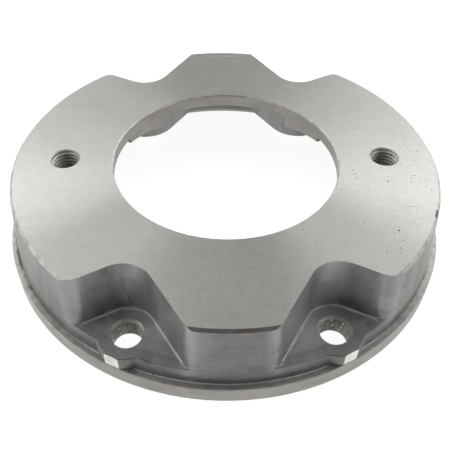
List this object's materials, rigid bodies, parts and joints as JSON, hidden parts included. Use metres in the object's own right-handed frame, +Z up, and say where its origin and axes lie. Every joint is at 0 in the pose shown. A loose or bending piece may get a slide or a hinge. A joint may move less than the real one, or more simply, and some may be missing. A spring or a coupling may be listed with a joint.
{
  "type": "pump mounting flange",
  "caption": "Round aluminium casting that carries a hydraulic pump: a pilot bore and tapped holes in its machined top face, scalloped sides over bolt pads, and a register ring at its base.",
  "frame": {"origin": "centre of the base face, on the axis of the pilot bore", "axes": "+Z up along the pilot bore towards the pump, X through the two tapped holes, Y through the two scalloped lobes"},
  "size_m": [0.2512, 0.2512, 0.047],
  "materials": {
    "cast_aluminium": "as-cast grey walls, turned and milled faces bare and bright"
  },
  "bodies": {
    "root": {"mounting_flange": "cast_aluminium"}
  },
  "joints": []
}
